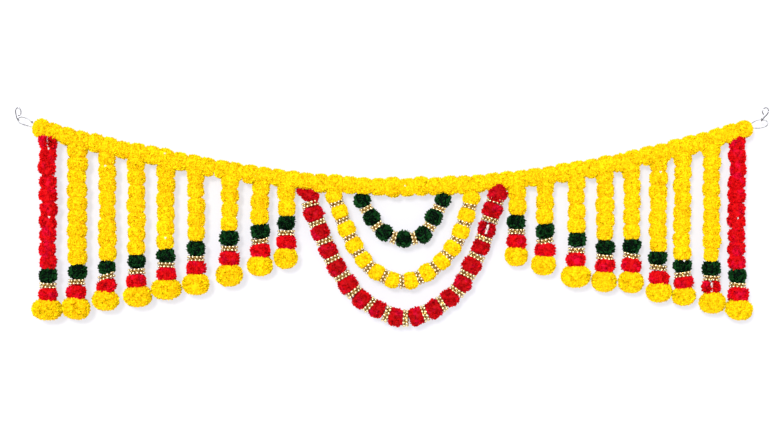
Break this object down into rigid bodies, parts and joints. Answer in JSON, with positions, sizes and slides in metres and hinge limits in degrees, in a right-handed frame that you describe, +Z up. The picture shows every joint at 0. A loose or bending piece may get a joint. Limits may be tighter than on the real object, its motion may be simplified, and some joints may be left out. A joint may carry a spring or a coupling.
{
  "type": "marigold door garland",
  "caption": "Door hanging of cloth marigolds: a sagging flower rope between S-hooks, with flower strands that end in tassels and beaded swags in the middle.",
  "frame": {"origin": "the crown inside the left S-hook's upper bend, where a nail carries the garland", "axes": "+X from the left hook to the right hook, +Y from the front to the wall behind, +Z up"},
  "size_m": [1.508, 0.0576, 0.4397],
  "materials": {
    "yellow_flowers": "soft ruffled petals, matt",
    "red_flowers": "crinkled petals with a slight sheen",
    "green_flowers": "crinkled petals with a slight sheen",
    "gold_beads": "bright gilt beads",
    "cord": "twisted cotton thread",
    "clear_loop": "clear glossy line",
    "hook_wire": "bright plated steel wire"
  },
  "bodies": {
    "root": {"main_cord": "cord", "rope_flowers_left": "yellow_flowers", "rope_flowers_middle": "yellow_flowers", "rope_flowers_right": "yellow_flowers", "left_end_loop": "clear_loop", "right_end_loop": "clear_loop", "left_s_hook": "hook_wire", "right_s_hook": "hook_wire", "strand_left_1_flowers": "red_flowers", "strand_left_1_tassel": "green_flowers", "strand_left_2_flowers": "yellow_flowers", "strand_left_2_tassel": "green_flowers", "strand_left_3_flowers": "yellow_flowers", "strand_left_3_tassel": "green_flowers", "strand_left_4_flowers": "yellow_flowers", "strand_left_4_tassel": "green_flowers", "strand_left_5_flowers": "yellow_flowers", "strand_left_5_tassel": "green_flowers", "strand_left_6_flowers": "yellow_flowers", "strand_left_6_tassel": "green_flowers", "strand_left_7_flowers": "yellow_flowers", "strand_left_7_tassel": "green_flowers", "strand_left_8_flowers": "yellow_flowers", "strand_left_8_tassel": "green_flowers", "strand_left_9_flowers": "yellow_flowers", "strand_left_9_tassel": "green_flowers", "strand_right_1_flowers": "yellow_flowers", "strand_right_1_tassel": "green_flowers", "strand_right_2_flowers": "yellow_flowers", "strand_right_2_tassel": "green_flowers", "strand_right_3_flowers": "yellow_flowers", "strand_right_3_tassel": "green_flowers", "strand_right_4_flowers": "yellow_flowers", "strand_right_4_tassel": "green_flowers", "strand_right_5_flowers": "yellow_flowers", "strand_right_5_tassel": "green_flowers", "strand_right_6_flowers": "yellow_flowers", "strand_right_6_tassel": "green_flowers", "strand_right_7_flowers": "yellow_flowers", "strand_right_7_tassel": "green_flowers", "strand_right_8_flowers": "yellow_flowers", "strand_right_8_tassel": "green_flowers", "strand_right_9_flowers": "red_flowers", "strand_right_9_tassel": "green_flowers", "outer_swag": "red_flowers", "middle_swag": "yellow_flowers", "inner_swag": "green_flowers"}
  },
  "joints": []
}
